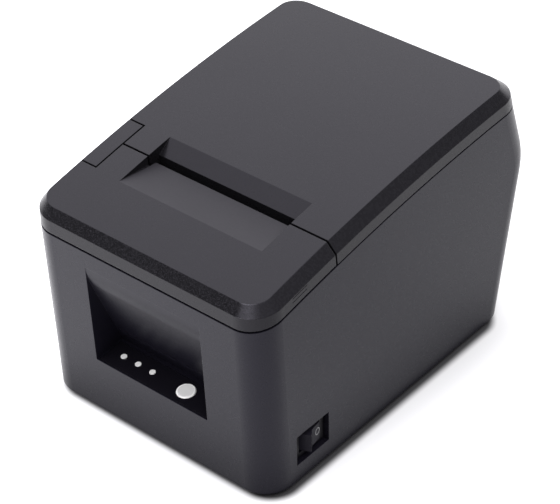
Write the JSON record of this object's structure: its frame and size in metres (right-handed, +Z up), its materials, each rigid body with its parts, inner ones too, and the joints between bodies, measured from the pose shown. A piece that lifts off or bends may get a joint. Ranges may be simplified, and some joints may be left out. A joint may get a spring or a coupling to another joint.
{
  "type": "thermal receipt printer",
  "caption": "Desktop thermal receipt printer with a hinged paper lid, release button, front control niche, side rocker switch, platen, print head and paper cutter.",
  "frame": {"origin": "on the ground under the middle of the printer", "axes": "+X to the printer's right as seen from the front, +Y from front to back, +Z up"},
  "size_m": [0.1427, 0.205, 0.1347],
  "materials": {
    "charcoal_plastic": "fine-textured charcoal moulding",
    "black_plastic": "plain black moulding",
    "panel_black": "smooth black insert",
    "pale_plastic": "pale grey moulding",
    "soft_rubber": "matt rubber",
    "sheet_steel": "zinc-plated sheet",
    "bright_steel": "ground steel",
    "alloy": "plain extrusion",
    "gear_plastic": "natural acetal",
    "board_green": "solder mask",
    "head_ceramic": "glazed ceramic",
    "socket_black": "socket moulding"
  },
  "bodies": {
    "case": {"main_case": "charcoal_plastic", "base_plate": "charcoal_plastic", "front_cover": "charcoal_plastic", "paper_bucket": "black_plastic", "switch_body": "black_plastic", "tact_switch": "black_plastic", "control_panel": "panel_black", "error_lens": "pale_plastic", "paper_lens": "pale_plastic", "power_lens": "pale_plastic", "rubber_feet": "soft_rubber", "frame_left": "sheet_steel", "frame_right": "sheet_steel", "frame_floor": "sheet_steel", "spring_bar": "sheet_steel", "cutter_bed": "sheet_steel", "usb_socket": "sheet_steel", "base_screws": "bright_steel", "hinge_pins": "bright_steel", "head_shaft": "bright_steel", "idler_pin": "bright_steel", "feed_motor": "bright_steel", "cutter_motor": "bright_steel", "main_board": "board_green", "panel_board": "board_green", "drawer_socket": "socket_black", "power_socket": "socket_black"},
    "lid": {"paper_lid": "charcoal_plastic", "platen_bushes": "black_plastic", "platen_bracket": "sheet_steel", "bracket_screws": "bright_steel", "fixed_blade": "bright_steel"},
    "platen": {"platen_shaft": "bright_steel", "platen_rubber": "soft_rubber", "platen_gear": "gear_plastic"},
    "idler": {"idler_gear": "gear_plastic"},
    "feed_motor_pinion": {"feed_pinion": "gear_plastic"},
    "head": {"print_head": "head_ceramic", "head_sink": "alloy", "head_springs": "bright_steel"},
    "blade": {"moving_blade": "bright_steel", "blade_racks": "gear_plastic"},
    "cutter_drive": {"cutter_shaft": "bright_steel", "rack_pinions": "gear_plastic", "cutter_gear": "gear_plastic"},
    "cutter_motor_pinion": {"cutter_pinion": "gear_plastic"},
    "release": {"release_button": "charcoal_plastic"},
    "latch": {"latch_hooks": "sheet_steel"},
    "feed_key": {"feed_button": "pale_plastic"},
    "rocker": {"power_rocker": "black_plastic"}
  },
  "joints": [
    {"name": "lid_hinge", "type": "hinge", "parent": "case", "child": "lid", "pos_m": [0, 0.08832, 0.12701], "axis": [-1, 0, 0], "range_deg": [0, 95]},
    {"name": "platen_spin", "type": "hinge", "parent": "lid", "child": "platen", "pos_m": [0, -0.03642, 0.0965], "axis": [1, 0, 0], "continuous": true},
    {"name": "idler_spin", "type": "hinge", "parent": "case", "child": "idler", "pos_m": [0, -0.03182, 0.07804], "axis": [1, 0, 0], "continuous": true},
    {"name": "feed_pinion_spin", "type": "hinge", "parent": "case", "child": "feed_motor_pinion", "pos_m": [0, -0.04224, 0.06562], "axis": [1, 0, 0], "continuous": true},
    {"name": "head_tilt", "type": "hinge", "parent": "case", "child": "head", "pos_m": [0, -0.03947, 0.08319], "axis": [1, 0, 0], "range_deg": [0, 3], "stiffness_Nm_per_rad": 4, "springref_deg": -2.86},
    {"name": "blade_slide", "type": "slide", "parent": "case", "child": "blade", "axis": [0, 1, 0], "range_m": [0, 0.007]},
    {"name": "cutter_drive_spin", "type": "hinge", "parent": "case", "child": "cutter_drive", "pos_m": [0, -0.06442, 0.09897], "axis": [1, 0, 0], "range_deg": [-95.6, 0]},
    {"name": "cutter_pinion_spin", "type": "hinge", "parent": "case", "child": "cutter_motor_pinion", "pos_m": [0, -0.0725, 0.08825], "axis": [1, 0, 0], "range_deg": [0, 207.1]},
    {"name": "release_press", "type": "slide", "parent": "case", "child": "release", "axis": [0, 0, -1], "range_m": [0, 0.003], "stiffness_N_per_m": 400, "springref_m": -0.004},
    {"name": "latch_swing", "type": "hinge", "parent": "case", "child": "latch", "pos_m": [0, -0.05242, 0.0805], "axis": [1, 0, 0], "range_deg": [0, 17.6]},
    {"name": "feed_press", "type": "slide", "parent": "case", "child": "feed_key", "axis": [0, 0.0971, -0.9953], "range_m": [0, 0.0006], "stiffness_N_per_m": 600, "springref_m": -0.001},
    {"name": "rocker_tilt", "type": "hinge", "parent": "case", "child": "rocker", "pos_m": [0.0635, -0.06782, 0.0201], "axis": [0, 0, -1], "range_deg": [0, 24]}
  ],
  "couplings": [
    {"joint": "idler_spin", "follows": "platen_spin", "ratio": -0.58824},
    {"joint": "feed_pinion_spin", "follows": "platen_spin", "ratio": 1.6667},
    {"joint": "cutter_drive_spin", "follows": "blade_slide", "rad_per_m": -238.1},
    {"joint": "cutter_pinion_spin", "follows": "blade_slide", "rad_per_m": 515.87},
    {"joint": "latch_swing", "follows": "release_press", "rad_per_m": 102}
  ]
}
